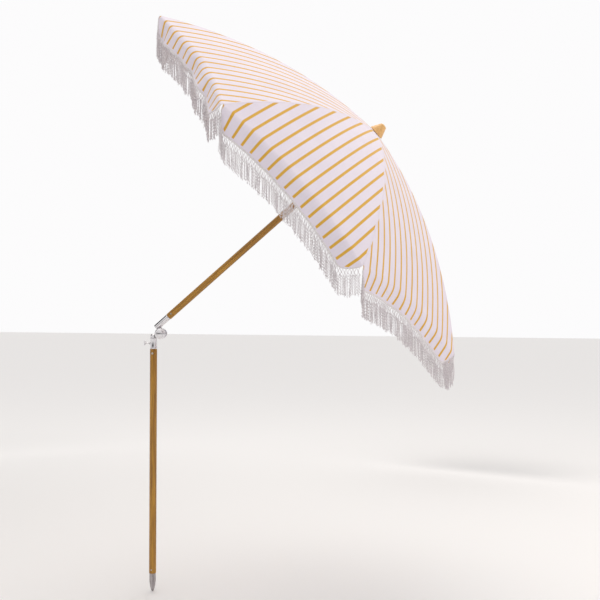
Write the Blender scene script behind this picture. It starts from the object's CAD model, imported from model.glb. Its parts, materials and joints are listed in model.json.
import json
import math

import bpy
import numpy as np
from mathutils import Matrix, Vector

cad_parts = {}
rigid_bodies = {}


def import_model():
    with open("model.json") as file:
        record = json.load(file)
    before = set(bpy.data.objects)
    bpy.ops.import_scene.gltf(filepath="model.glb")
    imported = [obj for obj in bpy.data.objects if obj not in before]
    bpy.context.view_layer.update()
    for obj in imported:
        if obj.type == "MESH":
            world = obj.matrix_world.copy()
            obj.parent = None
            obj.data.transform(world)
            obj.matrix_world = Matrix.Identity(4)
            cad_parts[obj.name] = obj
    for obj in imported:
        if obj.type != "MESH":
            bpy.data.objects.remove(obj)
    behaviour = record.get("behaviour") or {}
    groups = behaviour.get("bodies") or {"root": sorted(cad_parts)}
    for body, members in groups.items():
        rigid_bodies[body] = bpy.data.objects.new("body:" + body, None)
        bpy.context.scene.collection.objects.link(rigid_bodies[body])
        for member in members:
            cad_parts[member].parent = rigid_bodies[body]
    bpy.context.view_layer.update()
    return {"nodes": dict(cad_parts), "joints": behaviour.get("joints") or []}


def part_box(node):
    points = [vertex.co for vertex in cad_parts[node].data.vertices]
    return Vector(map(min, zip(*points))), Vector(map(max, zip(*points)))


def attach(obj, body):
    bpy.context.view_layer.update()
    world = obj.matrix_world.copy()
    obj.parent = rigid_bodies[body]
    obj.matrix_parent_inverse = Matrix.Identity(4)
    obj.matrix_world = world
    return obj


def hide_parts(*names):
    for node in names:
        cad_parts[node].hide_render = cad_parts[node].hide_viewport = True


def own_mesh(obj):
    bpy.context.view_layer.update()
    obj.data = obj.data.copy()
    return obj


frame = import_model()


# ---- Lower pole ----
# A turned hardwood pole 28 mm thick, varnished, with its ends eased. Its foot is bored for the spike's
# tang and its head for the plug of the ferrule. Its surface is a profile turned about its axis.

def outwards(points, faces):
    """The same shape, all faces turned round if it encloses a negative volume: the sum of a . (b x c)
    over the triangles that fan out from the first corner of each face."""
    volume = sum(np.sum(points[block[:, :1]] * np.cross(points[block[:, 1:-1]], points[block[:, 2:]]))
                 for block in faces)
    return points, faces if volume > 0 else [block[:, ::-1] for block in faces]


def skin(rings, joined=False, foot=None, head=None):
    """A closed shape over rings of points, an array of rings by points round by 3: four-cornered faces
    from each ring to the next, and from the last to the first if joined. Otherwise an end is closed by
    one flat face, or by a fan to the point given. A shape is points and blocks of like faces."""
    count, around = rings.shape[:2]
    row, column = np.meshgrid(np.arange(count if joined else count - 1), np.arange(around), indexing="ij")
    here, below, after = row * around, (row + 1) % count * around, (column + 1) % around
    faces = [np.stack([here + column, here + after, below + after, below + column], -1).reshape(-1, 4)]
    points = rings.reshape(-1, 3)
    if not joined:
        ring = np.arange(around)
        for tip, edge in ((foot, ring[::-1]), (head, ring + (count - 1) * around)):
            if tip is None:
                faces.append(edge[None])
            else:
                faces.append(np.stack([np.full(around, len(points)), edge, np.roll(edge, -1)], -1))
                points = np.concatenate([points, [tip]])
    return outwards(points, faces)


def rings_about_z(profile, segments, flutes=None):
    """Rings x = r cos a, y = r sin a, z = h for a profile of (r, h) pairs; flutes(a, h) scales r."""
    radius, height = np.array(profile, float).T[..., None]
    angle = np.linspace(0, 2 * np.pi, segments, endpoint=False)
    if flutes is not None:
        radius = radius * flutes(angle, height)
    return np.stack([radius * np.cos(angle), radius * np.sin(angle), height + 0 * angle], -1)


def turn(profile, segments=64, flutes=None):
    """A solid turned about Z from a profile of (r, h) pairs that starts and ends on the axis."""
    return skin(rings_about_z(profile[1:-1], segments, flutes),
                foot=(0, 0, profile[0][1]), head=(0, 0, profile[-1][1]))


def turn_ring(profile, segments=64):
    """A ring about Z whose section is a closed profile of (r, h) pairs."""
    return skin(rings_about_z(profile, segments), joined=True)


def eased(profile, reach=0.0006):
    """The same outline with each inner corner c cut to three points: a and b, which lie on its two sides
    at the given reach, or 0.4 of a short side, and (a + 2 c + b) / 4."""
    outline = np.array(profile, float)
    corner = outline[1:-1]
    sides = np.stack([outline[:-2], outline[2:]]) - corner
    length = np.linalg.norm(sides, axis=-1, keepdims=True)
    a, b = corner + sides / length * np.minimum(reach, 0.4 * length)
    cut = np.stack([a, (a + 2 * corner + b) / 4, b], 1).reshape(-1, 2)
    return np.concatenate([outline[:1], cut, outline[-1:]])


def merge(*shapes):
    """Several shapes as one: their points in a row, and each face's numbers raised by the points before."""
    before = np.cumsum([0] + [len(points) for points, _ in shapes])
    return (np.concatenate([points for points, _ in shapes]),
            [block + count for (_, faces), count in zip(shapes, before) for block in faces])


def mesh_piece(name, shape, material, body, nodes=(), sharp=35):
    """One piece of the umbrella from a shape: it rides on a body and stands for CAD nodes."""
    points, faces = shape
    mesh = bpy.data.meshes.new(name)
    mesh.from_pydata(points.tolist(), [], [face for block in faces for face in block.tolist()])
    mesh.shade_smooth()
    mesh.set_sharp_from_angle(angle=math.radians(sharp))
    mesh.materials.append(material)
    piece = bpy.data.objects.new(name, mesh)
    bpy.context.scene.collection.objects.link(piece)
    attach(piece, body)
    if nodes:
        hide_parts(*nodes)
    return piece


def shader_group(name, inputs, outputs):
    """A shader node group, with inputs given as (name, kind, value) and outputs as names of floats."""
    group = bpy.data.node_groups.new(name, "ShaderNodeTree")
    for title, kind, value in inputs:
        socket = group.interface.new_socket(title, in_out="INPUT", socket_type=kind)
        if value is not None:
            socket.default_value = value
    for title in outputs:
        group.interface.new_socket(title, in_out="OUTPUT", socket_type="NodeSocketFloat")
    return group, group.nodes.new("NodeGroupInput"), group.nodes.new("NodeGroupOutput")


def feed(tree, socket, value):
    """Link a socket to an output, or set it to a number or a colour."""
    if isinstance(value, bpy.types.NodeSocket):
        tree.links.new(value, socket)
    else:
        socket.default_value = (*value, 1.0) if isinstance(value, tuple) else value


def math_node(tree, operation, *values):
    """One step of arithmetic on numbers or outputs."""
    node = tree.nodes.new("ShaderNodeMath")
    node.operation = operation
    for socket, value in zip(node.inputs, values):
        feed(tree, socket, value)
    return node.outputs[0]


def noise_node(tree, vector, scale, detail=3.0, rough=0.55, stretch=None):
    """Noise over a position, which is first stretched along each axis if asked."""
    if stretch is not None:
        mapping = tree.nodes.new("ShaderNodeMapping")
        mapping.inputs["Scale"].default_value = stretch
        tree.links.new(vector, mapping.inputs["Vector"])
        vector = mapping.outputs[0]
    node = tree.nodes.new("ShaderNodeTexNoise")
    for title, value in (("Scale", scale), ("Detail", detail), ("Roughness", rough)):
        node.inputs[title].default_value = value
    tree.links.new(vector, node.inputs["Vector"])
    return node.outputs["Fac"]


def mix_colour(tree, share, a, b):
    """Colour a where the share is 0 and b where it is 1."""
    node = tree.nodes.new("ShaderNodeMix")
    node.data_type = "RGBA"
    for socket, value in ((node.inputs[0], share), (node.inputs[6], a), (node.inputs[7], b)):
        feed(tree, socket, value)
    return node.outputs[2]


def spread(tree, value, low, high, to_low=0.0, to_high=1.0):
    """A value between low and high carried to the range to_low to to_high, and held inside it."""
    node = tree.nodes.new("ShaderNodeMapRange")
    for socket, number in zip(node.inputs[1:5], (low, high, to_low, to_high)):
        socket.default_value = number
    tree.links.new(value, node.inputs[0])
    return node.outputs[0]


def finished(name, roughness=0.5, metallic=0.0, **settings):
    """A material with its Principled shader, whose even settings are set on the shader itself."""
    material = bpy.data.materials.new(name)
    material.use_nodes = True
    shader = material.node_tree.nodes["Principled BSDF"]
    for title, value in {"Roughness": roughness, "Metallic": metallic, **settings}.items():
        shader.inputs[title.replace("_", " ")].default_value = value
    return material, material.node_tree, shader


def object_place(tree):
    """Position on the piece as it stands at rest, in metres."""
    return tree.nodes.new("ShaderNodeTexCoord").outputs["Object"]


def bump_from(tree, height, shader, distance, strength):
    """Relief on a material from a height that runs from 0 to 1."""
    bump = tree.nodes.new("ShaderNodeBump")
    bump.inputs["Distance"].default_value = distance
    bump.inputs["Strength"].default_value = strength
    tree.links.new(height, bump.inputs["Height"])
    tree.links.new(bump.outputs[0], shader.inputs["Normal"])


def grain_group():
    """Straight wood grain along Z: long soft bands, fine dark pores and slow colour drift, as masks."""
    group, given, result = shader_group(
        "wood_grain", [("Vector", "NodeSocketVector", None)], ["Bands", "Pores", "Drift"])
    at = given.outputs["Vector"]
    bands = noise_node(group, at, 1.0, 4.0, 0.6, stretch=(190, 190, 5))
    pores = noise_node(group, at, 1.0, 2.0, 0.5, stretch=(900, 900, 28))
    drift = noise_node(group, at, 1.0, 2.0, 0.5, stretch=(22, 22, 4))
    group.links.new(spread(group, bands, 0.36, 0.66), result.inputs["Bands"])
    group.links.new(spread(group, pores, 0.56, 0.72), result.inputs["Pores"])
    group.links.new(spread(group, drift, 0.3, 0.7), result.inputs["Drift"])
    return group


WOOD_GRAIN = grain_group()


def wood(name, pale, deep, pore, origin=(0, 0, 0), lean=0.0, roughness=0.4):
    """Varnished wood whose grain runs along a line through the origin, leaned from Z towards X."""
    material, tree, shader = finished(name, roughness, Coat_Weight=0.12, Coat_Roughness=0.25)
    mapping = tree.nodes.new("ShaderNodeMapping")
    mapping.vector_type = "TEXTURE"
    mapping.inputs["Location"].default_value = origin
    mapping.inputs["Rotation"].default_value = (0, lean, 0)
    tree.links.new(object_place(tree), mapping.inputs["Vector"])
    grain = tree.nodes.new("ShaderNodeGroup")
    grain.node_tree = WOOD_GRAIN
    tree.links.new(mapping.outputs[0], grain.inputs["Vector"])
    bands, pores, drift = grain.outputs
    colour = mix_colour(tree, bands, deep, pale)
    drifted = mix_colour(tree, math_node(tree, "MULTIPLY", drift, 0.35), colour, deep)
    pored = mix_colour(tree, math_node(tree, "MULTIPLY", pores, 0.6), drifted, pore)
    tree.links.new(pored, shader.inputs["Base Color"])
    tree.links.new(math_node(tree, "MULTIPLY_ADD", pores, 0.2, roughness), shader.inputs["Roughness"])
    bump_from(tree, math_node(tree, "SUBTRACT", bands, pores), shader, 0.00008, 0.4)
    return material


POLE_COLOURS = (0.56, 0.285, 0.028), (0.27, 0.118, 0.008), (0.11, 0.045, 0.006)
pole_low, pole_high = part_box("lower_pole")
POLE_RADIUS = (pole_high.y - pole_low.y) / 2
mesh_piece("lower_pole_wood", turn(eased([
    (0, pole_low.z), (POLE_RADIUS - 0.0012, pole_low.z), (POLE_RADIUS, pole_low.z + 0.002),
    (POLE_RADIUS, pole_low.z + 0.3), (POLE_RADIUS, pole_low.z + 0.6), (POLE_RADIUS, pole_high.z - 0.0015),
    (POLE_RADIUS - 0.001, pole_high.z), (0, pole_high.z)])), wood("pole_wood", *POLE_COLOURS),
    "lower_pole", ["lower_pole"])


# ---- Ground spike and its nail ----
# A cup pressed from steel sheet, drawn to a blunt point, with long pressed slots down its sides. It is
# driven on the pole's foot and held by one small round-headed nail in the wood above it.

def worn_group():
    """Smudges and fine scratches as masks, from a position in metres."""
    group, given, result = shader_group(
        "worn_metal", [("Vector", "NodeSocketVector", None)], ["Smudge", "Scratch"])
    at = given.outputs["Vector"]
    smudge = noise_node(group, at, 55, 4.0, 0.6)
    scratch = noise_node(group, at, 1.0, 3.0, 0.7, stretch=(900, 900, 60))
    group.links.new(spread(group, smudge, 0.4, 0.72), result.inputs["Smudge"])
    group.links.new(spread(group, scratch, 0.55, 0.75), result.inputs["Scratch"])
    return group


WORN_METAL = worn_group()


def metal(name, colour, dull, roughness, smudged=0.12, scratched=0.1):
    """Bare or plated metal, a little rougher and darker where it is smudged or scratched."""
    material, tree, shader = finished(name, roughness, 1.0)
    worn = tree.nodes.new("ShaderNodeGroup")
    worn.node_tree = WORN_METAL
    tree.links.new(object_place(tree), worn.inputs["Vector"])
    smudge, scratch = worn.outputs
    tinted = mix_colour(tree, math_node(tree, "MULTIPLY", smudge, 0.5), colour, dull)
    tree.links.new(tinted, shader.inputs["Base Color"])
    smudged_rough = math_node(tree, "MULTIPLY_ADD", smudge, smudged, roughness)
    rough = math_node(tree, "MULTIPLY_ADD", scratch, scratched, smudged_rough)
    tree.links.new(rough, shader.inputs["Roughness"])
    bump_from(tree, scratch, shader, 0.00003, 0.5)
    return material


spike_steel = metal("spike_steel", (0.47, 0.44, 0.45), (0.2, 0.17, 0.17), 0.3, 0.2)
SPIKE_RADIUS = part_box("ground_spike")[1].y
SPIKE_TOP = pole_low.z - 0.0003
SLOTS = 6


def step_between(height, low, high):
    """1 between two heights and 0 outside them, by two smooth steps about 2 mm long."""
    return 1 / (1 + np.exp((low - height) * 2200)) / (1 + np.exp((height - high) * 2200))


def pressed_slots(angle, height):
    """Radius share of the cup: 1, less a deep narrow groove at each slot between two heights, and a
    shallow wide flute that runs out to the point."""
    from_slot = np.abs((angle * SLOTS / (2 * np.pi) + 0.5) % 1 - 0.5) * 2 * np.pi / SLOTS
    narrow = 1 / (1 + np.exp((from_slot - 0.13) * 70))
    wide = np.exp(-(from_slot / 0.2) ** 2)
    deep = step_between(height, 0.037, 0.063) + 0.9 * step_between(height, 0.018, 0.031)
    return 1 - 0.2 * narrow * deep - 0.06 * wide * np.clip(1 - height / 0.07, 0, 1)


spike_heights = np.linspace(0.0012, SPIKE_TOP, 90)
cup_radius = np.interp(
    spike_heights, [0, 0.003, 0.009, 0.024, 0.042, SPIKE_TOP],
    np.array([0.0028, 0.0045, 0.0072, 0.0106, 0.0126, 0.0127]) * SPIKE_RADIUS / 0.01275)
spike_profile = [(0, 0), *zip(cup_radius, spike_heights), (SPIKE_RADIUS - 0.0012, SPIKE_TOP), (0, SPIKE_TOP)]
mesh_piece("spike_cup", turn(spike_profile, 180, pressed_slots), spike_steel, "lower_pole",
           ["ground_spike"], sharp=60)


def leaned(shape, origin, axis):
    """A shape drawn about Z, turned so that Z lies on the axis, then carried to the origin."""
    points, faces = shape
    w = np.array(axis, float)
    side = np.array([0.0, 1.0, 0.0]) if abs(w[1]) < 0.9 else np.array([1.0, 0.0, 0.0])
    u = np.cross(side, w)
    return points @ np.array([u, np.cross(w, u), w]) + np.array(origin, float), faces


def middle(node):
    """The middle of a CAD node's box."""
    low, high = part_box(node)
    return (np.array(low) + np.array(high)) / 2


bright_steel = metal("bright_steel", (0.62, 0.58, 0.52), (0.3, 0.25, 0.2), 0.28)
nail_x, _, nail_z = middle("spike_nail")
nail_head = turn([(0, -0.0006), (0.0027, -0.0004), (0.003, 0.0001), (0.0026, 0.0006), (0.0014, 0.001),
                  (0, 0.0011)], 24)
mesh_piece("spike_nail_head", leaned(nail_head, (nail_x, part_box("spike_nail")[0].y + 0.0010, nail_z),
                                     (0, -1, 0)),
           bright_steel, "lower_pole", ["spike_nail"])


# ---- Lower ferrule, rivet and thumb screw ----
# A chromed brass tube with rolled edges: its plug is riveted in the lower pole, its socket takes the
# tilt joint's stub, and a winged thumb screw through a nut on its side clamps the stub.

chrome = metal("chrome_plate", (0.83, 0.82, 0.84), (0.6, 0.58, 0.6), 0.09, 0.1, 0.06)


def rivet_heads(pole_radius, centre, radius=0.0043, height=0.0021):
    """The two low round heads of a rivet through a pole along Y: r = radius cos t, h = height sin t."""
    t = np.linspace(0, np.pi / 2, 8)[:-1]
    dome = [(0, 0), (radius * 0.98, 0), *zip(radius * np.cos(t), height * np.sin(t) + 0.0003),
            (0, height + 0.0003)]
    return merge(*[leaned(turn(dome, 32), centre + [0, side * (pole_radius + 0.0001), 0], (0, side, 0))
                   for side in (-1, 1)])


ferrule_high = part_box("lower_ferrule")[1]
FERRULE_RADIUS = ferrule_high.y
socket_foot = pole_high.z + 0.0003
mesh_piece("ferrule_tube", turn(eased([
    (0, socket_foot), (FERRULE_RADIUS - 0.0007, socket_foot), (FERRULE_RADIUS + 0.0002, socket_foot + 0.001),
    (FERRULE_RADIUS + 0.0002, socket_foot + 0.0026), (FERRULE_RADIUS - 0.0005, socket_foot + 0.0036),
    (FERRULE_RADIUS - 0.0005, ferrule_high.z - 0.004), (FERRULE_RADIUS, ferrule_high.z - 0.003),
    (FERRULE_RADIUS - 0.0002, ferrule_high.z - 0.0008), (FERRULE_RADIUS - 0.0014, ferrule_high.z),
    (0, ferrule_high.z)], 0.0004), 96), chrome, "lower_pole", ["lower_ferrule"])
mesh_piece("ferrule_rivet_heads", rivet_heads(POLE_RADIUS, middle("ferrule_rivet")), bright_steel,
           "lower_pole", ["ferrule_rivet"])

SCREW_LEVEL = middle("thumb_screw")[2]
SCREW_FOOT = (0, 0, SCREW_LEVEL)
nut = turn(eased([(0, 0.0110), (0.0066, 0.0110), (0.0066, 0.0178), (0.0052, 0.0185), (0, 0.0185)], 0.0005), 6)
mesh_piece("screw_boss", leaned(nut, SCREW_FOOT, (-1, 0, 0)), chrome, "lower_pole", sharp=25)


def screw_thread(radius, start, end, pitch=0.0011, depth=0.00025):
    """A threaded shank: a bar whose radius rises and falls by a cosine once a pitch along its length."""
    heights = np.linspace(start, end, int((end - start) / pitch * 4) + 1)
    wave = radius - depth * (0.5 + 0.5 * np.cos(2 * np.pi * heights / pitch))
    return turn([(0, start), *zip(wave, heights), (0, end)], 20)


def wing(side, lean=math.radians(38)):
    """One ear of the thumb screw: an egg with x = cos v, y = sin v and z = cos u, flattened in y and
    fuller towards its foot, then leaned outwards in the XZ plane and mirrored for the lower ear."""
    u, v = np.meshgrid(np.linspace(0, np.pi, 17), np.linspace(0, 2 * np.pi, 28, endpoint=False),
                       indexing="ij")
    x = 0.0047 * np.sin(u) * np.cos(v) * (1 + 0.25 * np.cos(u))
    y = 0.0015 * np.sin(u) * np.sin(v) * (1.2 - 0.35 * np.cos(u))
    z = 0.0046 - 0.0062 * np.cos(u)
    ear = np.stack([x * math.cos(lean) - z * math.sin(lean) - 0.0333, y,
                    side * (x * math.sin(lean) + z * math.cos(lean)) + SCREW_LEVEL], -1)
    return skin(ear[1:-1], foot=ear[0, 0], head=ear[-1, 0])


shank_hub = turn(eased([(0, 0.0296), (0.0034, 0.0296), (0.0046, 0.0312), (0.0044, 0.0352), (0.003, 0.0368),
                        (0, 0.037)], 0.0005), 32)
mesh_piece("thumb_screw_shank", merge(
    leaned(screw_thread(0.0028, 0.0085, 0.0318), SCREW_FOOT, (-1, 0, 0)),
    leaned(shank_hub, SCREW_FOOT, (-1, 0, 0)), wing(1), wing(-1)),
    chrome, "thumb_screw", ["thumb_screw"], sharp=50)


# ---- Tilt joint ----
# Two chromed die castings side by side on a bolt: each is a tube with a lug. The button's round cap
# stands on the boss of the lower one, and a spring under it pushes it out again.

tilt = next(j for j in frame["joints"] if j["name"] == "tilt")
PIVOT = np.array(tilt["pos_m"])
runner_joint = next(j for j in frame["joints"] if j["name"] == "runner_slide")
POLE_AXIS = -np.array(runner_joint["axis"])
LEAN = math.atan2(POLE_AXIS[0], POLE_AXIS[2])
ACROSS = np.array([math.cos(LEAN), 0, -math.sin(LEAN)])
UPPER_FOOT = PIVOT - ACROSS * PIVOT[0]  # where the upper pole's axis passes the pivot


POLE_TURN = np.array([ACROSS, [0, 1, 0], POLE_AXIS])  # from the upper pole's axes to the room's


def moved(shape, by):
    return shape[0] + np.array(by, float), shape[1]


def laid(shape):
    """A shape drawn about Z, laid so that its axis runs along Y: (x, y, z) goes to (x, z, -y)."""
    return np.column_stack([shape[0][:, 0], shape[0][:, 2], -shape[0][:, 1]]), shape[1]


def on_tilt(shape, aside=0.0):
    """A shape drawn with the upper pole's axis on Z and the pivot's level at zero, in its place."""
    return (shape[0] + [aside, 0, 0]) @ POLE_TURN + UPPER_FOOT, shape[1]


def slab(outline, low, high, ease=0.0008):
    """A plate cut to an outline in the XZ plane, from y = low to y = high: four rings of the outline,
    the two at its faces drawn in towards its middle by the ease."""
    outline = np.array(outline, float)
    centre = outline.mean(0)
    away = outline - centre
    shrink = 1 - ease / np.linalg.norm(away, axis=1, keepdims=True)
    rings = [np.insert(centre + away * share, 1, level, axis=1) for share, level in
             ((shrink, low), (1, low + ease), (1, high - ease), (shrink, high))]
    return skin(np.array(rings))


def block(low, high, ease=0.0008):
    """A box between two corners, with eased edges on its long faces."""
    (x0, y0, z0), (x1, y1, z1) = low, high
    return slab([(x0, z0), (x1, z0), (x1, z1), (x0, z1)], y0, y1, ease)


def disc(radius, low, high, ease=0.0008, segments=72):
    """A round plate about Y."""
    angle = np.linspace(0, 2 * np.pi, segments, endpoint=False)
    return slab(np.column_stack([radius * np.cos(angle), radius * np.sin(angle)]), low, high, ease)


BOSS_RADIUS = 0.021
LUG_RADIUS = 0.0155
collar_foot = ferrule_high.z + 0.0003
shoulder = PIVOT[2] - 0.0002
collar = turn(eased([
    (0, collar_foot), (FERRULE_RADIUS - 0.0016, collar_foot), (FERRULE_RADIUS - 0.0001, collar_foot + 0.0012),
    (FERRULE_RADIUS - 0.0001, collar_foot + 0.003), (FERRULE_RADIUS - 0.0007, collar_foot + 0.0042),
    (FERRULE_RADIUS - 0.0007, shoulder - 0.0120), (FERRULE_RADIUS - 0.0013, shoulder - 0.0080),
    (FERRULE_RADIUS - 0.0030, shoulder - 0.0044), (FERRULE_RADIUS - 0.0058, shoulder - 0.0016),
    (0.0045, shoulder - 0.0002), (0, shoulder)], 0.0016), 96)
lower_lug = merge(
    block((-0.026, -0.0120, collar_foot - PIVOT[2] + 0.001), (-0.0130, -0.0022, -0.002)),
    block((-0.015, -0.0086, collar_foot - PIVOT[2] + 0.001), (0.004, -0.0022, -0.002)),
    disc(LUG_RADIUS, -0.0090, -0.00215))
POCKET = 0.0123
boss = turn_ring([
    (POCKET, -0.0088), (LUG_RADIUS - 0.0003, -0.0088), (LUG_RADIUS - 0.0003, -0.0124),
    (BOSS_RADIUS - 0.0006, -0.0124),
    (BOSS_RADIUS, -0.0130), (BOSS_RADIUS, -0.0150), (BOSS_RADIUS - 0.0005, -0.0162),
    (BOSS_RADIUS - 0.0016, -0.0172),
    (BOSS_RADIUS - 0.0026, -0.0175), (BOSS_RADIUS - 0.0032, -0.0180), (POCKET + 0.0004, -0.0180),
    (POCKET, -0.0177)], 128)


mesh_piece("tilt_lower_casting", merge(collar, moved(lower_lug, PIVOT), moved(laid(boss), PIVOT)),
           chrome, "tilt_base", ["tilt_lower_knuckle"], sharp=40)

BUTTON_BACK = 0.0223
CAP_RADIUS = 0.017
cap_curve = np.linspace(0.16, 1, 12)
cap_profile = [(0, -BUTTON_BACK), (CAP_RADIUS - 0.001, -BUTTON_BACK), (CAP_RADIUS, -BUTTON_BACK - 0.0008)] + [
    (CAP_RADIUS * math.cos(t * math.pi / 2), -BUTTON_BACK - 0.0012 - 0.0045 * math.sin(t * math.pi / 2))
    for t in cap_curve[:-1]] + [(0, -BUTTON_BACK - 0.0057)]
skirt = turn_ring([
    (0.0100, -0.0141), (0.0119, -0.0141), (0.0119, -BUTTON_BACK - 0.0003), (0.0100, -BUTTON_BACK - 0.0003)])
mesh_piece("tilt_button_cap", moved(laid(merge(turn(eased(cap_profile, 0.0004), 96), skirt)), PIVOT),
           chrome, "tilt_button", ["tilt_button"], sharp=50)

TANG_TOP = 0.069
TANG_RADIUS = 0.012
tang = turn(eased([
    (0, 0.022), (TANG_RADIUS - 0.0018, 0.022), (TANG_RADIUS - 0.0018, 0.0012), (TANG_RADIUS - 0.0012, 0.0004),
    (TANG_RADIUS - 0.0003, 0.0006), (TANG_RADIUS, 0.0014), (TANG_RADIUS, 0.0625),
    (TANG_RADIUS + 0.0007, 0.0642),
    (TANG_RADIUS + 0.0007, TANG_TOP - 0.0012), (TANG_RADIUS, TANG_TOP - 0.0003), (0, TANG_TOP - 0.0003)],
    0.0004), 96)


arm = merge(block((-0.028, -0.0016, 0.002), (0.006, 0.011, 0.0165)), disc(LUG_RADIUS, -0.00185, 0.0145))
back_boss = turn(eased([
    (0, 0.0142), (BOSS_RADIUS, 0.0142), (BOSS_RADIUS, 0.0150), (BOSS_RADIUS - 0.0015, 0.0165), (0, 0.0165)],
    0.0004), 96)
mesh_piece("tilt_upper_casting", merge(on_tilt(tang), on_tilt(merge(arm, laid(back_boss)), PIVOT[0])),
           chrome, "upper_pole", ["tilt_upper_knuckle"], sharp=40)

bolt_head = turn(eased([(0, 0.0168), (0.0090, 0.0168), (0.0090, 0.0182), (0.0068, 0.0208),
                        (0, 0.0217)], 0.0006), 48)
mesh_piece("tilt_bolt_head", on_tilt(laid(bolt_head), PIVOT[0]), chrome, "upper_pole",
           ["tilt_pivot_bolt"])


def tube_along(path, radius, sides=8, closed=False):
    """A round bar along a path: at each point a ring of the given radius, square to the path, in a
    frame carried along it. Its ends are closed by flat faces, or it joins up with itself."""
    path = np.asarray(path, float)
    count = len(path)
    ahead = np.roll(path, -1, 0) - np.roll(path, 1, 0)
    if not closed:
        ahead[0], ahead[-1] = path[1] - path[0], path[-1] - path[-2]
    ahead /= np.linalg.norm(ahead, axis=1, keepdims=True)
    normal = np.eye(3)[np.argmin(np.abs(ahead).max(0))]
    frames = np.empty_like(path)
    for i in range(count):
        normal = normal - ahead[i] * (normal @ ahead[i])
        normal /= np.linalg.norm(normal)
        frames[i] = normal
    other = np.cross(ahead, frames)
    angle = np.linspace(0, 2 * np.pi, sides, endpoint=False)
    size = np.broadcast_to(np.asarray(radius, float), (count,))[:, None, None]
    ring = frames[:, None] * np.cos(angle)[None, :, None] + other[:, None] * np.sin(angle)[None, :, None]
    return skin(path[:, None] + ring * size, closed)


spring_turn = np.linspace(0, 2 * np.pi * 4, 96)
spring_low, spring_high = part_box("button_spring")
spring_path = np.column_stack([
    0.007 * np.cos(spring_turn), np.linspace(spring_high.y - 0.0008, spring_low.y + 0.0008, 96),
    0.007 * np.sin(spring_turn)]) + [PIVOT[0], 0, PIVOT[2]]
spring = mesh_piece("button_spring_coil", tube_along(spring_path, 0.0006, 8), bright_steel, "tilt_base",
                    ["button_spring"])
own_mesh(spring)


# ---- Upper pole ----
# The second turned pole, 26 mm thick, plugged on the upper casting's spigot and riveted to it. Below
# the runner's open place it has a narrow slot for the spring catch.

UPPER_RADIUS = 0.013
crowns = np.array([j["pos_m"] for j in frame["joints"] if j["name"].startswith("rib_")])
CROWN_LEVEL = float((crowns.mean(0) - UPPER_FOOT) @ POLE_AXIS)
APEX_LEVEL = CROWN_LEVEL + 0.020
APEX = UPPER_FOOT + POLE_AXIS * APEX_LEVEL
upper_wood = wood("upper_pole_wood", *POLE_COLOURS, tuple(UPPER_FOOT), LEAN)


def slotted_pole(foot, top, slot_low, slot_high, half_width=0.0018, segments=96):
    """The upper pole: r is the pole's radius, but inside the slot's height and width on the +X side
    the surface drops to a flat floor 11 mm below it."""
    lower = np.linspace(foot + 0.003, slot_low - 0.0004, 20)
    upper = np.linspace(slot_high + 0.0004, top - 0.003, 30)
    inside = np.array([slot_low, slot_high])
    heights = np.concatenate([lower, inside, upper])
    angle = np.linspace(0, 2 * np.pi, segments, endpoint=False)
    edge = math.asin(half_width / UPPER_RADIUS)
    wrapped = (angle + np.pi) % (2 * np.pi) - np.pi
    order = np.argsort(np.abs(wrapped))
    angle[order[1:3]] = np.sign(wrapped[order[1:3]]) * edge
    angle[order[3:5]] = np.sign(wrapped[order[3:5]]) * edge * 1.05
    angle = np.sort((angle + np.pi) % (2 * np.pi) - np.pi)
    radius = np.full((len(heights), segments), UPPER_RADIUS)
    in_slot = (np.abs(angle) <= edge * 1.001)[None, :] & np.isin(heights, inside)[:, None]
    radius = np.where(in_slot, 0.003, radius)
    x, y = radius * np.cos(angle), radius * np.sin(angle)
    x = np.where(in_slot, 0.0025, x)
    y = np.where(in_slot, UPPER_RADIUS * np.sin(angle)[None, :], y)
    body = np.stack([x, y, np.repeat(heights[:, None], segments, 1)], -1)
    ends = [np.stack([(UPPER_RADIUS - inner) * np.cos(angle), (UPPER_RADIUS - inner) * np.sin(angle),
                      np.full(segments, level)], -1)
            for level, inner in ((foot, 0.0012), (foot + 0.0008, 0.0003), (top - 0.0008, 0.0003),
                                 (top, 0.0012))]
    return skin(np.concatenate([ends[:2], body, ends[2:]]))


def from_apex(points):
    """Points drawn with the pole's axis on Z and the cloth's apex at zero, in their place."""
    return np.asarray(points) @ POLE_TURN + APEX


catch_points = np.array([v.co for v in frame["nodes"]["runner_catch"].data.vertices])
catch_levels = (catch_points - APEX) @ POLE_AXIS
pole_shape = slotted_pole(TANG_TOP - APEX_LEVEL, -0.003, catch_levels.min() - 0.004,
                          catch_levels.max() + 0.0023)
mesh_piece("upper_pole_wood", (from_apex(pole_shape[0]), pole_shape[1]), upper_wood, "upper_pole",
           ["upper_pole"])
dulled_chrome = metal("dulled_chrome", (0.42, 0.34, 0.24), (0.2, 0.14, 0.08), 0.4)
mesh_piece("upper_rivet_heads", rivet_heads(UPPER_RADIUS, middle("upper_rivet")), dulled_chrome,
           "upper_pole", ["upper_rivet"])


# ---- Crown, runner and catch ----
# Two moulded plastic hubs with a radial slot for each arm; a wire ring runs through the arms' eyes.
# The crown is pinned to the pole's head, the runner slides, and a flat steel catch holds it up.

def plastic(name, colour):
    """Moulded plastic with a faint orange-peel and a little grey dirt."""
    material, tree, shader = finished(name, 0.42)
    peel = noise_node(tree, object_place(tree), 700, 2.0)
    dirt = spread(tree, noise_node(tree, object_place(tree), 60, 5.0, 0.7), 0.5, 0.8, 0.0, 0.35)
    tree.links.new(mix_colour(tree, dirt, colour, tuple(c * 0.72 for c in colour)),
                   shader.inputs["Base Color"])
    bump_from(tree, peel, shader, 0.00004, 0.5)
    return material


hub_plastic = plastic("hub_plastic", (0.8, 0.78, 0.74))


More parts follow.
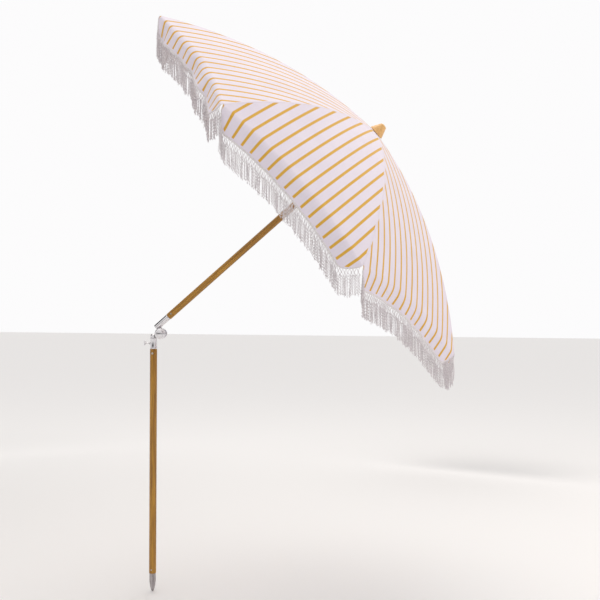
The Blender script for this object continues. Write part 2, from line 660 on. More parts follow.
def hub_shape(profile, slot_low, slot_high, segments=192, half_width=0.0024, floor=0.0195):
    """A turned hub, hollow along its axis, whose rings between two levels drop to the slot floor
    wherever they are less than the slot's half width from the middle of an arm."""
    profile = np.array(profile, float)
    angle = np.linspace(0, 2 * np.pi, segments, endpoint=False) + FIRST_RIB
    sector = 2 * np.pi / 8
    off = (angle - FIRST_RIB + sector / 2) % sector - sector / 2
    radius = np.repeat(profile[:, :1], segments, 1)
    height = np.repeat(profile[:, 1:], segments, 1)
    inside = (np.abs(np.sin(off)) * np.maximum(radius, 1e-6) < half_width) & (
        height > slot_low) & (height < slot_high) & (radius > floor)
    radius = np.where(inside, floor, radius)
    points = np.stack([radius * np.cos(angle), radius * np.sin(angle), height], -1)
    return skin(points, joined=True)


FIRST_RIB = math.atan2(crowns[0][1] - APEX[1], (crowns[0] - APEX) @ ACROSS)
RIB_ANGLES = FIRST_RIB + np.arange(8) * 2 * np.pi / 8
HUB_OUTER = 0.0295
runner_nodes = np.array([v.co for v in frame["nodes"]["runner"].data.vertices])
runner_levels = (runner_nodes - APEX) @ POLE_AXIS
RUNNER_TOP, RUNNER_FOOT = float(runner_levels.max()), float(runner_levels.min())
RUNNER_LEVEL = RUNNER_TOP - 0.010


def ring_steps(radius, low, high, count):
    """Steps of a profile up a straight wall."""
    return [(radius, h) for h in np.linspace(low, high, count)]


crown_profile = ([(0.0133, -0.052), (0.0172, -0.052), (0.0176, -0.0512), (0.0185, -0.036), (0.0190, -0.033)]
                 + [(0.0250, -0.0302), (0.0285, -0.0284)] + ring_steps(HUB_OUTER, -0.0275, -0.0125, 12)
                 + [(HUB_OUTER, -0.0119), (HUB_OUTER - 0.0004, -0.0108), (0.0275, -0.0098), (0.0235, -0.0082),
                    (0.0140, -0.0080), (0.0133, -0.0085)])
crown_shape = hub_shape(crown_profile, -0.0305, -0.0121)
mesh_piece("crown_hub", (from_apex(crown_shape[0]), crown_shape[1]), hub_plastic, "upper_pole",
           ["crown"], sharp=35)
runner_profile = [
    (0.0135, RUNNER_FOOT), (0.0186, RUNNER_FOOT), (0.0198, RUNNER_FOOT + 0.0008),
    (0.0205, RUNNER_FOOT + 0.003),
    (0.0203, RUNNER_FOOT + 0.0058), (0.0190, RUNNER_FOOT + 0.0080), (0.0175, RUNNER_FOOT + 0.0092)]
for level in np.linspace(RUNNER_FOOT + 0.0125, RUNNER_TOP - 0.0262, 9):
    runner_profile += [(0.0175, level), (0.0180, level + 0.0008), (0.0175, level + 0.0016)]
runner_profile += [(0.0177, RUNNER_TOP - 0.0235), (0.0230, RUNNER_TOP - 0.0205),
                   (0.0288, RUNNER_TOP - 0.0182)]
runner_profile += ring_steps(HUB_OUTER, RUNNER_TOP - 0.0168, RUNNER_TOP - 0.0022, 12)
runner_profile += [(HUB_OUTER - 0.0006, RUNNER_TOP - 0.001), (HUB_OUTER - 0.0018, RUNNER_TOP),
                   (0.0205, RUNNER_TOP),
                   (0.0142, RUNNER_TOP), (0.0135, RUNNER_TOP - 0.0008)]
runner_shape = hub_shape(runner_profile, RUNNER_LEVEL - 0.0056, RUNNER_TOP + 0.001)
mesh_piece("runner_hub", (from_apex(runner_shape[0]), runner_shape[1]), hub_plastic, "runner",
           ["runner"], sharp=35)

ring_angle = np.linspace(0, 2 * np.pi, 96, endpoint=False)
for name, level, body in (("crown_wire", -0.020, "upper_pole"), ("runner_wire", RUNNER_LEVEL, "runner")):
    circle = np.column_stack([0.025 * np.cos(ring_angle), 0.025 * np.sin(ring_angle), np.full(96, level)])
    mesh_piece(name + "_ring", tube_along(from_apex(circle), 0.0011, 8, closed=True), bright_steel, body,
               [name])

catch_top, catch_foot = float(catch_levels.max()), float(catch_levels.min())
catch_outline = [(0.0045, catch_foot + 0.0006), (0.0052, catch_foot), (0.0092, catch_foot),
                 (0.0100, catch_foot + 0.001),
                 (0.0171, catch_top - 0.0062), (0.0175, catch_top - 0.0048), (0.0175, catch_top - 0.0006),
                 (0.0169, catch_top), (0.0086, catch_top), (0.0080, catch_top - 0.0008)]
catch_plate = slab(catch_outline, -0.0014, 0.0014, 0.0003)
mesh_piece("runner_catch_blade", (from_apex(catch_plate[0]), catch_plate[1]), spike_steel,
           "runner_catch", ["runner_catch"], sharp=30)


# ---- Ribs and stretchers ----
# Spring steel wires, 4 mm thick and painted white. Each rib has an eye in the crown, a clip with a
# rivet for its stretcher and a round cap at its tip; each stretcher has an eye and a small fork.

def paint(name, colour):
    """Baked white paint over steel, rubbed grey in places."""
    material, tree, shader = finished(name, 0.34, Coat_Weight=0.15)
    rub = spread(tree, noise_node(tree, object_place(tree), 35, 5.0, 0.75), 0.6, 0.8)
    tree.links.new(mix_colour(tree, rub, colour, (0.42, 0.41, 0.4)), shader.inputs["Base Color"])
    bump_from(tree, noise_node(tree, object_place(tree), 500, 2.0), shader, 0.00003, 0.6)
    return material


rib_paint = paint("rib_paint", (0.78, 0.77, 0.75))
CANOPY_RADIUS = 0.845
HALF = math.pi / 8
HUB_RADIUS = 0.025
CROWN_Z = -0.020
RIB_CLEAR = 0.0048
JOINT_RADIUS = 0.380


def cloth_depth(radius):
    """Depth of the cloth below its apex along a rib: a fourth-degree dome of the radius's share."""
    share = radius / CANOPY_RADIUS
    return CANOPY_RADIUS * (0.0737 * share + 0.2557 * share ** 2 + 0.0257 * share ** 4)


def rib_level(radius):
    """Height of a rib's middle line: a little under the cloth, drawn down to its eye in the crown."""
    lift = CROWN_Z + cloth_depth(HUB_RADIUS) + RIB_CLEAR
    return -cloth_depth(radius) - RIB_CLEAR + lift * np.exp((HUB_RADIUS - radius) / 0.05)


JOINT_Z = rib_level(JOINT_RADIUS) - 0.006


def turned_about_pole(points, angle):
    """Points in the canopy's axes, turned by an angle about the pole."""
    c, s = math.cos(angle), math.sin(angle)
    return np.stack([points[..., 0] * c - points[..., 1] * s, points[..., 0] * s + points[..., 1] * c,
                     points[..., 2]], -1)


def eye_shape(x, z, outer=0.0040, hole=0.0015, half=0.0020):
    """A flat ring about Y, at x and z, with its outer edges eased."""
    profile = [(hole, -half), (outer - 0.0003, -half), (outer, -half + 0.0003), (outer, half - 0.0003),
               (outer - 0.0003, half), (hole, half)]
    return moved(laid(turn_ring(profile, 32)), (x, 0, z))


def rivet_bar(x, z, radius, half):
    """A short round-headed rivet along Y through (x, z)."""
    bar = turn([(0, -half), (radius * 1.7, -half), (radius * 1.9, -half + 0.0004),
                (radius * 1.7, -half + 0.0009),
                (radius, -half + 0.001), (radius, half - 0.001), (radius * 1.7, half - 0.0009),
                (radius * 1.9, half - 0.0004), (radius * 1.7, half), (0, half)], 16)
    return moved(laid(bar), (x, 0, z))


def rib_shape():
    """A rib on +X: its wire, the clip, tab and rivet for its stretcher, the ball at its tip, its eye."""
    tip = CANOPY_RADIUS - 0.009
    along = np.linspace(HUB_RADIUS + 0.0032, tip, 90)
    path = np.column_stack([along, np.zeros(90), rib_level(along)])
    wire = tube_along(path, 0.0020, 12)
    clip_x = np.linspace(JOINT_RADIUS - 0.011, JOINT_RADIUS + 0.011, 12)
    clip = tube_along(np.column_stack([clip_x, np.zeros(12), rib_level(clip_x)]), 0.0027, 14)
    tab = slab([(JOINT_RADIUS + 0.0048 * math.cos(a), JOINT_Z + 0.0048 * math.sin(a))
                for a in np.linspace(-math.pi, 0, 13)] + [
                    (JOINT_RADIUS + 0.0042, JOINT_Z + 0.0056), (JOINT_RADIUS - 0.0042, JOINT_Z + 0.0056)],
               -0.0011, 0.0011, 0.0002)
    ball_t = np.linspace(0, np.pi, 14)
    ball = turn([(0.0035 * math.sin(t), -0.0035 * math.cos(t)) for t in ball_t], 24)
    return merge(wire, clip, tab, eye_shape(HUB_RADIUS, CROWN_Z),
                 rivet_bar(JOINT_RADIUS, JOINT_Z, 0.0014, 0.0041), moved(ball, (tip, 0, rib_level(tip))))


def stretcher_shape():
    """A stretcher on +X, along u from the runner to its rib: its wire, socket, two cheeks and its eye."""
    run, rise = JOINT_RADIUS - HUB_RADIUS, JOINT_Z - RUNNER_LEVEL
    length = math.hypot(run, rise)
    u, w = np.array([run, 0, rise]) / length, np.array([-rise, 0, run]) / length
    start = np.array([HUB_RADIUS, 0, RUNNER_LEVEL])
    steps = np.linspace(0.0033, length - 0.010, 40)
    wire = tube_along(start + steps[:, None] * u, 0.0020, 12)
    cheeks = []
    for side in (-1, 1):
        outline = [(length - 0.0135, 0.0030), (length - 0.0135, -0.0030)] + [
            (length + 0.0044 * math.cos(a), 0.0044 * math.sin(a)) for a in np.linspace(-1.5, 1.5, 12)]
        low, high = sorted((side * 0.0016, side * 0.0031))
        points, faces = slab(outline, low, high, 0.0002)
        cheeks.append((start + points @ np.array([u, [0, 1, 0], w]), faces))
    socket_steps = np.linspace(length - 0.020, length - 0.0095, 8)
    socket = tube_along(start + socket_steps[:, None] * u, 0.0031, 14)
    return merge(wire, socket, *cheeks, eye_shape(HUB_RADIUS, RUNNER_LEVEL))


rib_points, rib_faces = rib_shape()
stretcher_points, stretcher_faces = stretcher_shape()
for i, angle in enumerate(RIB_ANGLES, 1):
    for name, points, faces in (("rib", rib_points, rib_faces),
                                ("stretcher", stretcher_points, stretcher_faces)):
        mesh_piece(f"{name}_{i}_wire", (from_apex(turned_about_pole(points, angle)), faces), rib_paint,
                   f"{name}_{i}", [f"{name}_{i}"])


# ---- Canopy cloth ----
# Eight panels of white canvas with thin woven mustard stripes, felled together along the ribs, folded
# over at the rim into a loose valance flap. Each gore is the half panels either side of one rib.

FLAP = 0.070
FLAP_LEAN = 0.30
FLAP_PLUMB = 0.62  # how far the flap gives way from the pole's direction towards plumb
HEM_HOLLOW = 0.0466
CLOTH = 0.0008
STRIPE_PITCH = 0.0389
STRIPE_WIDTH = 0.0091
STRIPE_SHIFT = 0.0074  # the cut of each panel lies off the stripes' middle by this much
DOWN = np.array([-ACROSS[2], 0, -POLE_AXIS[2]])  # plumb, in the canopy's own axes
DOME_ROWS, FLAP_ROWS, COLUMNS = 44, 26, 36


def panel_waves(panel, y, depth):
    """How far the flap stands out of its plane: two slow waves along the hem whose phase is the
    panel's own, growing with the depth below the fold."""
    phase = 1.7 * panel
    wave = 0.6 * np.sin(y * 24 + phase) + 0.4 * np.sin(y * 41 - 2.3 * phase) + 0.25 * np.sin(y * 73 + 3.1 * phase)
    return 0.0058 * wave * np.clip(depth / FLAP, 0, 1) ** 1.3


def flap_length(v):
    """Length of the flap below the fold: full over most of the panel, drawn up in a round at its ends."""
    return FLAP * (1 - 0.84 * np.clip((np.abs(v) - 0.84) / 0.16, 0, 1) ** 2.2)


def panel_surface(panel, v, s):
    """A point of the cloth on one panel, in the panel's own axes, whose x runs out along its middle.
    v is -1 on one rib, 0 at the middle and 1 on the next; s is the share of the flap's length below
    the rim fold when positive, and a share of the way up to the apex when negative. The cloth bends
    one way only over the dome, turns down through a smooth angle at the fold, and then hangs between
    the pole's direction and plumb."""
    rim_x = CANOPY_RADIUS * (math.cos(HALF) - HEM_HOLLOW * (1 - v ** 2))
    rim_y = CANOPY_RADIUS * math.sin(HALF) * v
    share = np.maximum(1 - np.clip(-s, 0, 1), 0.008 / CANOPY_RADIUS)
    x, y = rim_x * share, rim_y * share
    slack = 0.0011 * np.sin(np.pi * np.abs(v)) ** 2 * np.sin(np.pi * share)
    ripple = 0.0009 * np.sin(20 * v * (1 + 0.15 * np.sin(panel * 2.1)) + panel) * np.clip(
        share * 4 - 3, 0, 1) * np.cos(np.pi / 2 * v) ** 2
    z = -cloth_depth(x / math.cos(HALF)) - slack + ripple
    depth = np.clip(s, 0, None) * flap_length(v)
    angle = PANEL_ANGLES[panel]
    plumb_out = DOWN @ np.array([math.cos(angle), math.sin(angle), 0])
    plumb_aside = DOWN @ np.array([-math.sin(angle), math.cos(angle), 0])
    share_out = rim_x / math.cos(HALF) / CANOPY_RADIUS
    start = np.arctan((0.0737 + 2 * 0.2557 * share_out + 4 * 0.0257 * share_out ** 3) / math.cos(HALF))
    end = math.pi / 2 - FLAP_PLUMB * (1 - 0.5 * max(-plumb_out, 0)) * math.atan2(plumb_out, -DOWN[2])
    bend = (0.010 + 0.024 * (1 - v ** 2)) * (1 + 0.5 * max(plumb_out, 0))
    t = np.clip(depth / bend, 0, 1)
    now = start + (end - start) * t
    beyond = np.clip(depth - bend, 0, None)
    x = x + bend / (end - start) * (np.sin(now) - np.sin(start)) + beyond * math.cos(end)
    z = z - bend / (end - start) * (np.cos(start) - np.cos(now)) - beyond * math.sin(end)
    y = y + depth * (-FLAP_LEAN * v * np.abs(v) + 0.22 * plumb_aside * v ** 2)
    low = np.clip(depth / FLAP, 0, 1)
    out = panel_waves(panel, rim_y, depth) * (1 + 2.2 * max(-plumb_out, 0)) - 0.004 * low ** 2
    return np.stack([x + out * math.sin(end), y, z + out * math.cos(end)], -1), rim_y * share, np.where(
        s > 0, CANOPY_RADIUS + depth, CANOPY_RADIUS * share), depth / flap_length(v)


PANEL_ANGLES = RIB_ANGLES + HALF  # panel k lies between rib k and rib k + 1


def sheet_faces(rows, columns):
    """Faces of a closed sheet made of two equal grids, one after the other: the faces of the upper
    grid, those of the lower grid turned over, and a wall round the edge."""
    corner = np.arange(rows * columns).reshape(rows, columns)
    upper = np.stack([corner[:-1, :-1], corner[1:, :-1], corner[1:, 1:], corner[:-1, 1:]], -1).reshape(-1, 4)
    edge = np.concatenate([corner[0], corner[1:, -1], corner[-1, -2::-1], corner[-2:0:-1, 0]])
    ahead = np.roll(edge, -1)
    wall = np.stack([edge, ahead, ahead + corner.size, edge + corner.size], -1)
    return np.concatenate([upper, np.roll(upper[:, ::-1], 1, 1) + corner.size, wall])


def grid_normals(function, v, s, step=1e-4):
    """Unit normals of a surface, from its differences a small step either side in both directions."""
    d_v = function(v + step, s) - function(v - step, s)
    d_s = function(v, s + step * 0.2) - function(v, s - step * 0.2)
    n = np.cross(d_s, d_v)
    return n / np.maximum(np.linalg.norm(n, axis=-1, keepdims=True), 1e-12)


def half_panel(panel, side):
    """The half of a panel next to one of its ribs, as a closed sheet: outer and inner faces half the
    cloth's thickness either side of the surface, and a wall round the edge. side is -1 for the half
    by the panel's first rib and 1 for the half by its second."""
    edge = np.concatenate([np.linspace(0, 0.86, COLUMNS - 10), np.linspace(0.87, 1, 10)])
    s_up = -np.linspace(1, 0, DOME_ROWS)
    s_down = np.concatenate([np.linspace(0.02, 0.5, 14), np.linspace(0.54, 1, FLAP_ROWS - 14)])
    s = np.concatenate([s_up, s_down])
    v_grid, s_grid = np.meshgrid(edge * side, s)

    def surface(v, s):
        return panel_surface(panel, v, s)[0]

    points, cloth_y, cloth_x, flap_share = panel_surface(panel, v_grid, s_grid)
    one_sided = np.where(s_grid <= 0, -1e-4, 1e-4)
    normal = grid_normals(surface, v_grid, s_grid + one_sided)
    blended = grid_normals(surface, v_grid, np.where(s_grid == 0, -2e-5, s_grid + one_sided))
    normal = np.where((s_grid == 0)[..., None], blended, normal)
    flip = np.sign(normal[len(s_up) // 2, COLUMNS // 2, 2])
    normal = normal * flip
    outer, inner = points + normal * CLOTH / 2, points - normal * CLOTH / 2
    flat = np.concatenate([outer.reshape(-1, 3), inner.reshape(-1, 3)])
    flat_normal = np.concatenate([normal.reshape(-1, 3), -normal.reshape(-1, 3)])
    faces = sheet_faces(*v_grid.shape)
    if side < 0:
        faces = faces[:, ::-1]
    angle = PANEL_ANGLES[panel]
    seam = np.abs(np.abs(v_grid) - 1) * cloth_x * math.sin(HALF)
    to_hem = np.where(s_grid > 0, (1 - flap_share) * flap_length(v_grid), 1.0)
    marks = np.stack([cloth_y, cloth_x, seam, to_hem], -1).reshape(-1, 4)
    return (turned_about_pole(flat, angle), turned_about_pole(flat_normal, angle), faces,
            np.concatenate([marks, marks]))


def canvas():
    """Woven canvas. The piece's own cloth marks say where each point lay in the flat panel: across it,
    along it, and its distance from the seam. Stripes, weave, stitches and seam shade come from them."""
    material, tree, shader = finished("striped_canvas", 0.86, Sheen_Weight=0.18, Sheen_Roughness=0.5)
    marks = tree.nodes.new("ShaderNodeAttribute")
    marks.attribute_name = "cloth"
    apart = tree.nodes.new("ShaderNodeSeparateXYZ")
    tree.links.new(marks.outputs["Vector"], apart.inputs[0])
    across, along, seam = apart.outputs
    to_hem = marks.outputs["Alpha"]
    shifted = math_node(tree, "ADD", across, STRIPE_PITCH * 40 - STRIPE_SHIFT)
    wobble = math_node(tree, "MULTIPLY", noise_node(tree, object_place(tree), 260, 2.0), 0.0005)
    in_pitch = math_node(tree, "MODULO", math_node(tree, "ADD", shifted, wobble), STRIPE_PITCH)
    from_middle = math_node(tree, "ABSOLUTE", math_node(tree, "SUBTRACT", in_pitch, STRIPE_PITCH / 2))
    stripe = spread(tree, from_middle, STRIPE_WIDTH / 2 - 0.0004, STRIPE_WIDTH / 2 + 0.0004, 1.0, 0.0)
    hem = spread(tree, to_hem, 0.0068, 0.0075)
    stripe = math_node(tree, "MULTIPLY", stripe, hem)
    cloudy = noise_node(tree, object_place(tree), 9, 4.0, 0.6)
    white = mix_colour(tree, spread(tree, cloudy, 0.3, 0.7), (0.785, 0.725, 0.82), (0.835, 0.775, 0.86))
    slub = noise_node(tree, marks.outputs["Vector"], 1.0, 3.0, 0.6, stretch=(60, 900, 1))
    yarn = mix_colour(tree, spread(tree, slub, 0.4, 0.65), (0.69, 0.375, 0.036), (0.78, 0.455, 0.058))
    dyed = mix_colour(tree, stripe, white, yarn)
    seam_shade = spread(tree, seam, 0.0, 0.006, 0.16, 0.0)
    shaded = mix_colour(tree, seam_shade, dyed, (0.5, 0.44, 0.46))
    tree.links.new(shaded, shader.inputs["Base Color"])
    warp = math_node(tree, "SINE", math_node(tree, "MULTIPLY", across, 2 * math.pi / 0.0016))
    weft = math_node(tree, "SINE", math_node(tree, "MULTIPLY", along, 2 * math.pi / 0.0016))
    weave = math_node(tree, "MULTIPLY", warp, weft)
    uneven = math_node(tree, "MULTIPLY_ADD", noise_node(tree, object_place(tree), 120, 3.0), 1.2)
    tree.links.new(math_node(tree, "MULTIPLY", weave, 0.35), uneven.node.inputs[2])
    bump_from(tree, uneven, shader, 0.00035, 0.5)
    return material


canvas_cloth = canvas()


def felled_seam(level_lift=0.0006, half_width=0.0042, rows=70, columns=7):
    """The double-folded seam over a rib: a strip that follows the cloth's ridge from the crown to the
    rim, raised by a low hump across its width and rippled along it by the stitches."""
    radius = np.linspace(0.030, CANOPY_RADIUS - 0.001, rows)
    across = np.linspace(-1, 1, columns)
    r, a = np.meshgrid(radius, across, indexing="ij")
    fall = np.abs(a) * half_width * 0.27
    hump = level_lift * (1 - a ** 4) * (1 + 0.25 * np.sin(r / 0.0075 * 2 * np.pi * 0.5))
    top = np.stack([r, a * half_width, -cloth_depth(r) - fall * (r / CANOPY_RADIUS) + hump + 0.0002], -1)
    under = top - [0, 0, 0.0007]
    marks = np.stack([np.full(r.shape, STRIPE_SHIFT), r, np.abs(a) * 0.003 + 0.002, np.ones(r.shape)], -1)
    marks = marks.reshape(-1, 4)
    return (np.concatenate([top.reshape(-1, 3), under.reshape(-1, 3)]), sheet_faces(rows, columns),
            np.concatenate([marks, marks]))


seam_points, seam_faces, seam_marks = felled_seam()
for i, angle in enumerate(RIB_ANGLES):
    before, after = (i - 1) % 8, i
    points_a, normals_a, faces_a, marks_a = half_panel(before, 1)
    points_b, normals_b, faces_b, marks_b = half_panel(after, -1)
    ridge = turned_about_pole(seam_points, angle)
    points = from_apex(np.concatenate([points_a, points_b, ridge]))
    faces = np.concatenate([faces_a, faces_b + len(points_a), seam_faces + len(points_a) + len(points_b)])
    mesh = bpy.data.meshes.new(f"canopy_gore_{i + 1}_cloth")
    mesh.from_pydata(points.tolist(), [], faces.tolist())
    marks = np.concatenate([marks_a, marks_b, seam_marks])
    mesh.attributes.new("cloth", "FLOAT_COLOR", "POINT").data.foreach_set("color",
                                                                          marks.astype(np.float32).ravel())
    mesh.shade_smooth()
    mesh.update()
    turned_normals = np.concatenate([normals_a, normals_b]) @ POLE_TURN
    plain = np.empty(len(points) * 3)
    mesh.vertices.foreach_get("normal", plain)
    plain = plain.reshape(-1, 3)
    plain[:len(turned_normals)] = turned_normals
    mesh.materials.append(canvas_cloth)
    mesh.normals_split_custom_set_from_vertices(plain.tolist())
    gore = bpy.data.objects.new(f"canopy_gore_{i + 1}_cloth", mesh)
    bpy.context.scene.collection.objects.link(gore)
    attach(gore, f"rib_{i + 1}")
    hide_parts(f"canopy_gore_{i + 1}")
    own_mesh(gore)


# ---- Fringe ----
# Off-white cotton fringe sewn to the flap's hem: a woven heading tape, two rows of knotted diamonds,
# and a small tassel of twisted cords under each knot, all hanging plumb.

def cotton():
    """Twisted cotton cord: pale fibres with darker hollows that wind round it."""
    material, tree, shader = finished("cotton_cord", 0.92, Sheen_Weight=0.25)
    strands = noise_node(tree, object_place(tree), 420, 3.0, 0.7)
    patches = noise_node(tree, object_place(tree), 24, 3.0)
    pale = mix_colour(tree, spread(tree, patches, 0.35, 0.65), (0.86, 0.82, 0.84), (0.90, 0.87, 0.88))
    tinted = mix_colour(tree, spread(tree, strands, 0.36, 0.60, 0.85, 0.0), pale, (0.52, 0.47, 0.49))
    tree.links.new(tinted, shader.inputs["Base Color"])
    bump_from(tree, strands, shader, 0.0006, 0.8)
    return material


cotton_cord = cotton()
FRINGE = 0.088
KNOT_PITCH = 0.0102
TAPE = 0.003
DIAMOND = 0.0110
STRANDS = 3  # from each diamond


def cords(starts, ends, bow, radius, sides=4, rings=6, twist=None):
    """Many short cords at once: each runs from its start to its end, stands aside by its own bow in
    the middle, and has a ring of a few points at each step. Returns points and faces."""
    count = len(starts)
    t = np.linspace(0, 1, rings)[None, :, None]
    line = starts[:, None] * (1 - t) + ends[:, None] * t + bow[:, None] * np.sin(np.pi * t)
    if twist is not None:
        line = line + twist(t[0, :, 0])
    along = ends - starts
    along /= np.linalg.norm(along, axis=1, keepdims=True)
    side = np.cross(along, [0.31, 0.95, 0.07])
    side /= np.linalg.norm(side, axis=1, keepdims=True)
    other = np.cross(along, side)
    angle = np.linspace(0, 2 * np.pi, sides, endpoint=False)
    ring = side[:, None, None] * np.cos(angle)[None, None, :, None] + other[:, None, None] * np.sin(
        angle)[None, None, :, None]
    size = np.broadcast_to(np.asarray(radius, float), (count, rings))[..., None, None]
    points = line[:, :, None] + ring * size
    cord, row, column = np.meshgrid(np.arange(count), np.arange(rings - 1), np.arange(sides), indexing="ij")
    after = (column + 1) % sides
    base = cord * rings * sides
    quads = np.stack([base + row * sides + column, base + row * sides + after,
                      base + (row + 1) * sides + after, base + (row + 1) * sides + column], -1).reshape(-1, 4)
    first = np.arange(count)[:, None] * rings * sides + np.arange(sides)[None, ::-1]
    last = np.arange(count)[:, None] * rings * sides + (rings - 1) * sides + np.arange(sides)[None]
    return points.reshape(-1, 3), [quads, first, last]


def knots(centres, radius):
    """Small eight-faced beads, one at each centre, longer along the plumb line."""
    unit = np.array([[1, 0, 0], [0, 1, 0], [-1, 0, 0], [0, -1, 0], [0, 0, 1.25], [0, 0, -1.25]]) * radius
    facets = np.array([[0, 1, 4], [1, 2, 4], [2, 3, 4], [3, 0, 4], [1, 0, 5], [2, 1, 5], [3, 2, 5], [0,
                                                                                                     3, 5]])
    points = centres[:, None] + unit[None]
    return points.reshape(-1, 3), [(facets[None] + np.arange(len(centres))[:, None, None] * 6).reshape(-1, 3)]


def hem_line(panel, v):
    """The flap's lower edge and the direction that the flap hangs in there, in the canopy's axes."""
    low = panel_surface(panel, v, np.full_like(v, 1.0))[0]
    above = panel_surface(panel, v, np.full_like(v, 0.94))[0]
    hang = low - above
    hang /= np.linalg.norm(hang, axis=-1, keepdims=True)
    angle = PANEL_ANGLES[panel]
    return turned_about_pole(low, angle), turned_about_pole(hang, angle)


def half_fringe(panel, side, draw):
    """The fringe of half a panel: tape, diamonds, knots and tassels, with random lengths and sway."""
    fine = np.linspace(0, 1, 300) * side
    steps = np.linalg.norm(np.diff(hem_line(panel, fine)[0], axis=0), axis=1)
    run = np.concatenate([[0], np.cumsum(steps)])
    count = int(run[-1] / KNOT_PITCH)
    v_knot = np.interp((np.arange(count) + 0.5) / count * run[-1], run, fine)
    v_edge = np.interp(np.arange(count + 1) / count * run[-1], run, fine)
    hem, hang = hem_line(panel, v_edge)
    tape_v = np.linspace(0, 1, 60) * side
    tape_top, tape_hang = hem_line(panel, tape_v)
    shapes = []
    out = np.cross(tape_hang, np.gradient(tape_top, axis=0))
    out /= np.linalg.norm(out, axis=1, keepdims=True)
    corners = [(-0.0035, -0.0011), (-0.0035, 0.0011), (TAPE, 0.0013), (TAPE, -0.0013)]
    band = np.stack([tape_top + tape_hang * a + out * b for a, b in corners], 1)
    shapes.append(skin(band))
    mid_hem, mid_hang = hem_line(panel, v_knot)
    top = hem + hang * TAPE
    sway = draw.normal(0, 1, (count + 1, 3)) * 0.0010
    first = mid_hem + mid_hang * TAPE + DOWN * DIAMOND + draw.normal(0, 0.0007, (count, 3))
    second = top + DOWN * DIAMOND * 2 + sway
    for start, end in ((top[:-1], first), (top[1:], first), (first, second[:-1]), (first, second[1:])):
        shapes.append(cords(start, end, draw.normal(0, 0.0006, (count, 3)), 0.00095, 4, 4))
    shapes.append(knots(np.concatenate([first, second]), 0.0024))
    spare = FRINGE - TAPE - 2 * DIAMOND
    strands = count * STRANDS
    place = np.linspace(0, count, strands)
    root = np.stack([np.interp(place, np.arange(count + 1), second[:, k]) for k in range(3)], -1)
    root = root - DOWN * (0.003 * np.abs(2 * (place % 1) - 1))[:, None] + draw.normal(0, 0.0006, (strands, 3))
    lean = draw.normal(0, 1, (strands, 3)) * 0.0022
    lean -= (lean @ DOWN)[:, None] * DOWN
    reach = spare * (1 + 0.05 * np.sin(place * 1.9) + draw.normal(0, 0.035, strands))
    bow = draw.normal(0, 1, (strands, 3)) * 0.0013
    phase = np.pi * (np.arange(strands) % 2) + draw.normal(0, 0.45, strands)
    aside = np.gradient(top, axis=0).mean(0)
    aside /= np.linalg.norm(aside)

    def wave(t):
        return (0.0024 * np.sin(phase[:, None] + 44 * t[None]))[..., None] * aside

    beat = 1 + 0.4 * np.sin(draw.uniform(0, 6, strands)[:, None] + np.linspace(0, 40, 30)[None])
    taper = np.linspace(0.00135, 0.0012, 30)[None] * beat
    shapes.append(cords(root, root + DOWN * reach[:, None] + lean, bow, taper, 3, 30, wave))
    return merge(*shapes)


draw = np.random.default_rng(7)
for i, angle in enumerate(RIB_ANGLES):
    before, after = (i - 1) % 8, i
    points, faces = merge(half_fringe(before, 1, draw), half_fringe(after, -1, draw))
    strip = mesh_piece(f"fringe_{i + 1}_cords", (from_apex(points), faces), cotton_cord, f"rib_{i + 1}",
                       [f"fringe_{i + 1}"], sharp=80)
    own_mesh(strip)
    gore = bpy.data.objects[f"canopy_gore_{i + 1}_cloth"]


# ---- Finial ----
# A turned knob of paler wood, a blunt cone with a rounded tip. Its screw goes down through the
# cloth's hole into the pole and holds the cloth on it.

knob_wood = wood("finial_wood", (0.93, 0.58, 0.225), (0.72, 0.41, 0.14),
                 (0.45, 0.24, 0.08), tuple(APEX), LEAN, 0.42)
slope_h = np.linspace(0.005, 0.036, 40)
slope_r = np.interp(slope_h, [0.005, 0.036], [0.0286,
                                              0.0140]) + 0.00012 * np.sin(slope_h * 2 * np.pi / 0.0016)
tip_t = np.linspace(0.15, 1, 9)[:-1] * math.pi / 2
knob_profile = [(0, 0.0012), (0.009, 0.0011), (0.0286, -0.0005), (0.0294, 0.0008), (0.0294, 0.0030)] + list(
    zip(slope_r, slope_h)) + [(0.0138 * math.cos(t),
                               0.0362 + 0.0060 * math.sin(t)) for t in tip_t] + [(0, 0.0423)]
knob = turn(knob_profile, 128)
mesh_piece("finial_knob", (from_apex(knob[0]), knob[1]), knob_wood, "upper_pole", ["finial"])


# ---- Studio ----
# A plain pale floor under the spike, broad soft lights, and the camera across from the pole.

def area_light(name, place, aim, size, power, colour=(1, 1, 1)):
    """A round soft light at a place, turned to its aim."""
    data = bpy.data.lights.new(name, "AREA")
    data.shape, data.size, data.energy, data.color = "DISK", size, power, colour
    light = bpy.data.objects.new(name, data)
    bpy.context.scene.collection.objects.link(light)
    light.location = place
    away = np.array(place, float) - np.array(aim, float)
    light.rotation_euler = Vector(away).to_track_quat("Z", "Y").to_euler()
    return light


floor_mesh = bpy.data.meshes.new("floor")
floor_mesh.from_pydata([(-30, -30, 0), (30, -30, 0), (30, 30, 0), (-30, 30, 0)], [], [(0, 1, 2, 3)])
floor_finish, _, floor_shader = finished("floor_paper", 0.9)
floor_shader.inputs["Base Color"].default_value = (0.85, 0.85, 0.85, 1)
floor_mesh.materials.append(floor_finish)
studio_floor = bpy.data.objects.new("floor", floor_mesh)
bpy.context.scene.collection.objects.link(studio_floor)

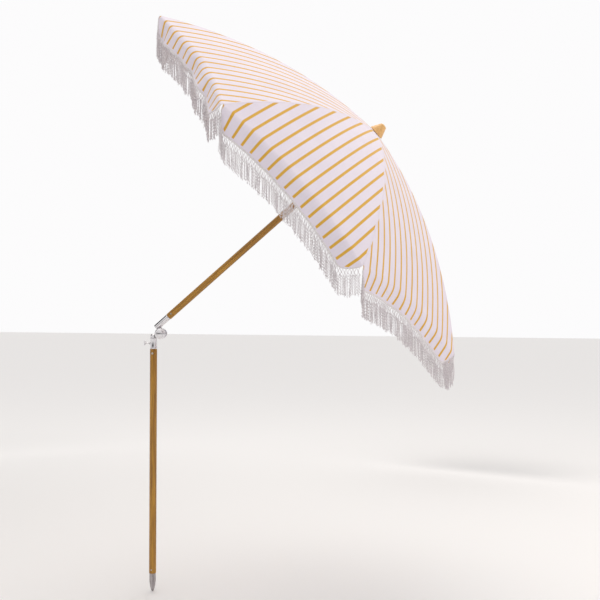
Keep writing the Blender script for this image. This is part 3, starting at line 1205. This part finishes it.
SKY_LOW, SKY_HIGH, BACKDROP = (0.48, 0.475, 0.49), (1.03, 1.0, 0.98), (0.975, 0.97, 0.975)
world = bpy.data.worlds.new("studio")
bpy.context.scene.world = world
world.use_nodes = True
sky = world.node_tree
facing = sky.nodes.new("ShaderNodeVectorMath")
facing.operation = "DOT_PRODUCT"
facing.inputs[1].default_value = (0.0, 0.12, 0.993)
sky.links.new(sky.nodes.new("ShaderNodeTexCoord").outputs["Generated"], facing.inputs[0])
seen = sky.nodes.new("ShaderNodeLightPath").outputs["Is Camera Ray"]
glow = mix_colour(sky, spread(sky, facing.outputs["Value"], -1, 1), SKY_LOW, SKY_HIGH)
sky.links.new(mix_colour(sky, seen, glow, BACKDROP), sky.nodes["Background"].inputs["Color"])


def flag(name, place, aim, width, height):
    """A black card beside the set, which gives the bright metal something dark to reflect."""
    card = bpy.data.meshes.new(name)
    w, h = width / 2, height / 2
    card.from_pydata([(-w, -h, 0), (w, -h, 0), (w, h, 0), (-w, h, 0)], [], [(0, 1, 2, 3)])
    cloth, _, shader = finished(name + "_cloth", 0.9)
    shader.inputs["Base Color"].default_value = (0.012, 0.012, 0.012, 1)
    card.materials.append(cloth)
    made = bpy.data.objects.new(name, card)
    bpy.context.scene.collection.objects.link(made)
    made.location = place
    made.rotation_euler = Vector(np.array(aim) - np.array(place)).to_track_quat("Z", "Y").to_euler()
    made.visible_camera = False


JOINT_AIM = (0.03, 0, 1.05)
flag("flag_left", (-2.75, 0.25, 2.75), JOINT_AIM, 2.5, 1.6)
flag("flag_left_behind", (-2.0, 2.3, 2.1), JOINT_AIM, 2.0, 1.2)
flag("flag_behind", (1.15, 3.0, 0.85), JOINT_AIM, 0.9, 0.8)
flag("flag_front", (-0.45, -3.3, 1.04), JOINT_AIM, 5.0, 0.36)

area_light("key", (0.2, 1.4, 6.0), (0.6, 0, 1.4), 4.5, 93, (1.0, 0.94, 0.87))
area_light("fill", (5.0, 1.2, 1.9), (0.6, 0, 1.4), 2.4, 20, (1.0, 0.85, 0.78))

CAMERA_TURN, CAMERA_PITCH, CAMERA_ROLL = 0.2067, -0.0031, 0.0040
camera_data = bpy.data.cameras.new("camera")
camera_data.lens, camera_data.sensor_width = 58.43, 36
camera = bpy.data.objects.new("camera", camera_data)
bpy.context.scene.collection.objects.link(camera)
camera.location = (1.3581, -3.6555, 1.1412)
camera.rotation_euler = (math.pi / 2 - CAMERA_PITCH, -CAMERA_ROLL, CAMERA_TURN)
bpy.context.scene.camera = camera
bpy.context.scene.view_settings.view_transform = "Standard"
